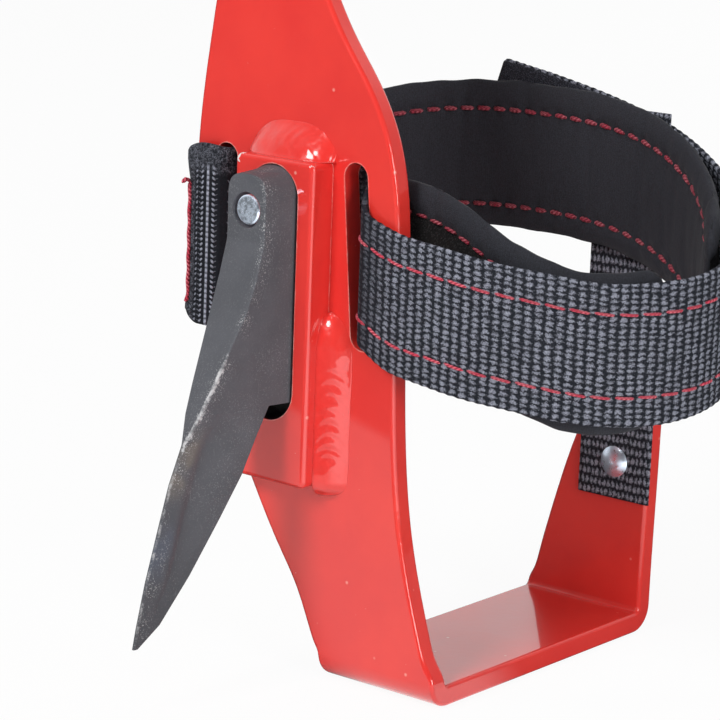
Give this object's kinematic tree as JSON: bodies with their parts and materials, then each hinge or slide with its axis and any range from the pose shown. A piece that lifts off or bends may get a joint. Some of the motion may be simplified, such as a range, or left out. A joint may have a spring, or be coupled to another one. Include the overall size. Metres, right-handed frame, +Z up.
{
  "type": "tree climbing spike",
  "caption": "Tree climbing spike: bent steel stirrup with a welded block holding a screwed-in gaff, a padded ankle strap and a height-set calf bar with a rocking padded cup.",
  "frame": {"origin": "middle of the tread's top face, where the boot's arch stands", "axes": "+X from heel to toe, +Y from the inner side of the leg, where the gaff is, to the outer side, +Z up"},
  "size_m": [0.1788, 0.2037, 0.42],
  "materials": {
    "red_paint": "gloss red paint over bent and welded steel",
    "forged_steel": "dark forged steel with a worn ridge",
    "zinc_steel": "bright zinc plate",
    "black_plastic": "black moulded plastic, fine grain",
    "webbing": "coarse charcoal webbing with red stitching",
    "pad_cloth": "soft black padded cloth with red stitching",
    "hook_tape": "black hook tape",
    "red_thread": "red two-ply sewing thread"
  },
  "bodies": {
    "stirrup": {"stirrup_iron": "red_paint", "gaff_block": "red_paint", "weld_top": "red_paint", "weld_toe_side": "red_paint", "weld_heel_side": "red_paint", "gaff": "forged_steel", "gaff_screw": "zinc_steel", "ankle_strap": "webbing", "heel_loop": "webbing", "strap_hook_tape": "hook_tape", "ankle_pad": "pad_cloth", "outer_tie": "webbing", "tie_rivets": "zinc_steel"},
    "calf_bar": {"calf_bar": "red_paint", "clamp_screws": "zinc_steel", "clamp_washers": "zinc_steel", "clamp_nuts": "zinc_steel", "pivot_screw": "zinc_steel", "pivot_nut": "zinc_steel", "pivot_spacer": "black_plastic"},
    "calf_cup": {"calf_cup": "black_plastic", "calf_pad": "pad_cloth", "calf_strap": "webbing", "ring_loop": "webbing", "calf_ring": "zinc_steel", "calf_hook_tape": "hook_tape", "cup_rivets": "zinc_steel"}
  },
  "joints": [
    {"name": "height_setting", "type": "slide", "parent": "stirrup", "child": "calf_bar", "axis": [0, 0, 1], "range_m": [-0.004, 0.044]},
    {"name": "calf_cup_rock", "type": "hinge", "parent": "calf_bar", "child": "calf_cup", "pos_m": [-0.046, -0.0355, 0.362], "axis": [0, 1, 0], "range_deg": [-12, 12]}
  ]
}
